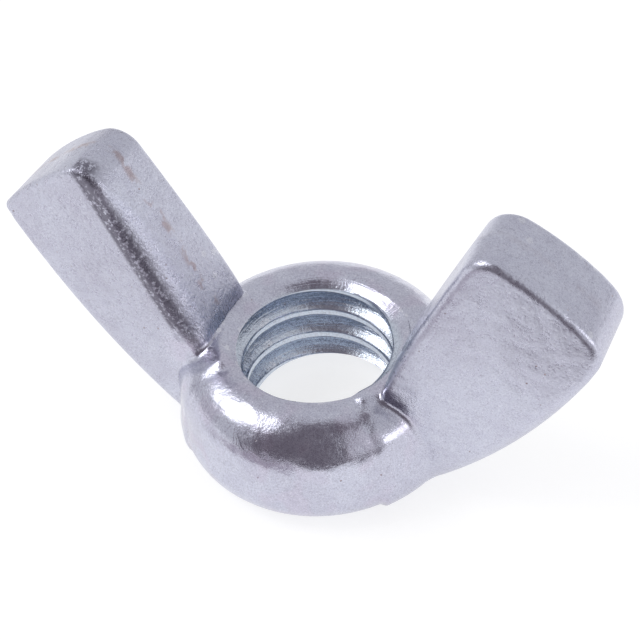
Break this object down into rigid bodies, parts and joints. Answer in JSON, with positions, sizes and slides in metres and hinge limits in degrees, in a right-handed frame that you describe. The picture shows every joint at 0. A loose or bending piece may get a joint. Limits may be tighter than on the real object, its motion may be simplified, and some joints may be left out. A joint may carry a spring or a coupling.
{
  "type": "wing nut",
  "caption": "Forged wing nut with a low round hub, a coarse-threaded through bore and flared flat wings for turning by hand.",
  "frame": {"origin": "on the bore's axis at the bearing face, which is the bottom centre of the part", "axes": "+Z along the bore away from the bearing face, towards the wing tips; +X along the spread of the wings"},
  "size_m": [0.0252, 0.0124, 0.0135],
  "materials": {
    "zinc_plated_steel": "bright zinc plated, frosted"
  },
  "bodies": {
    "root": {"wing_nut": "zinc_plated_steel"}
  },
  "joints": []
}
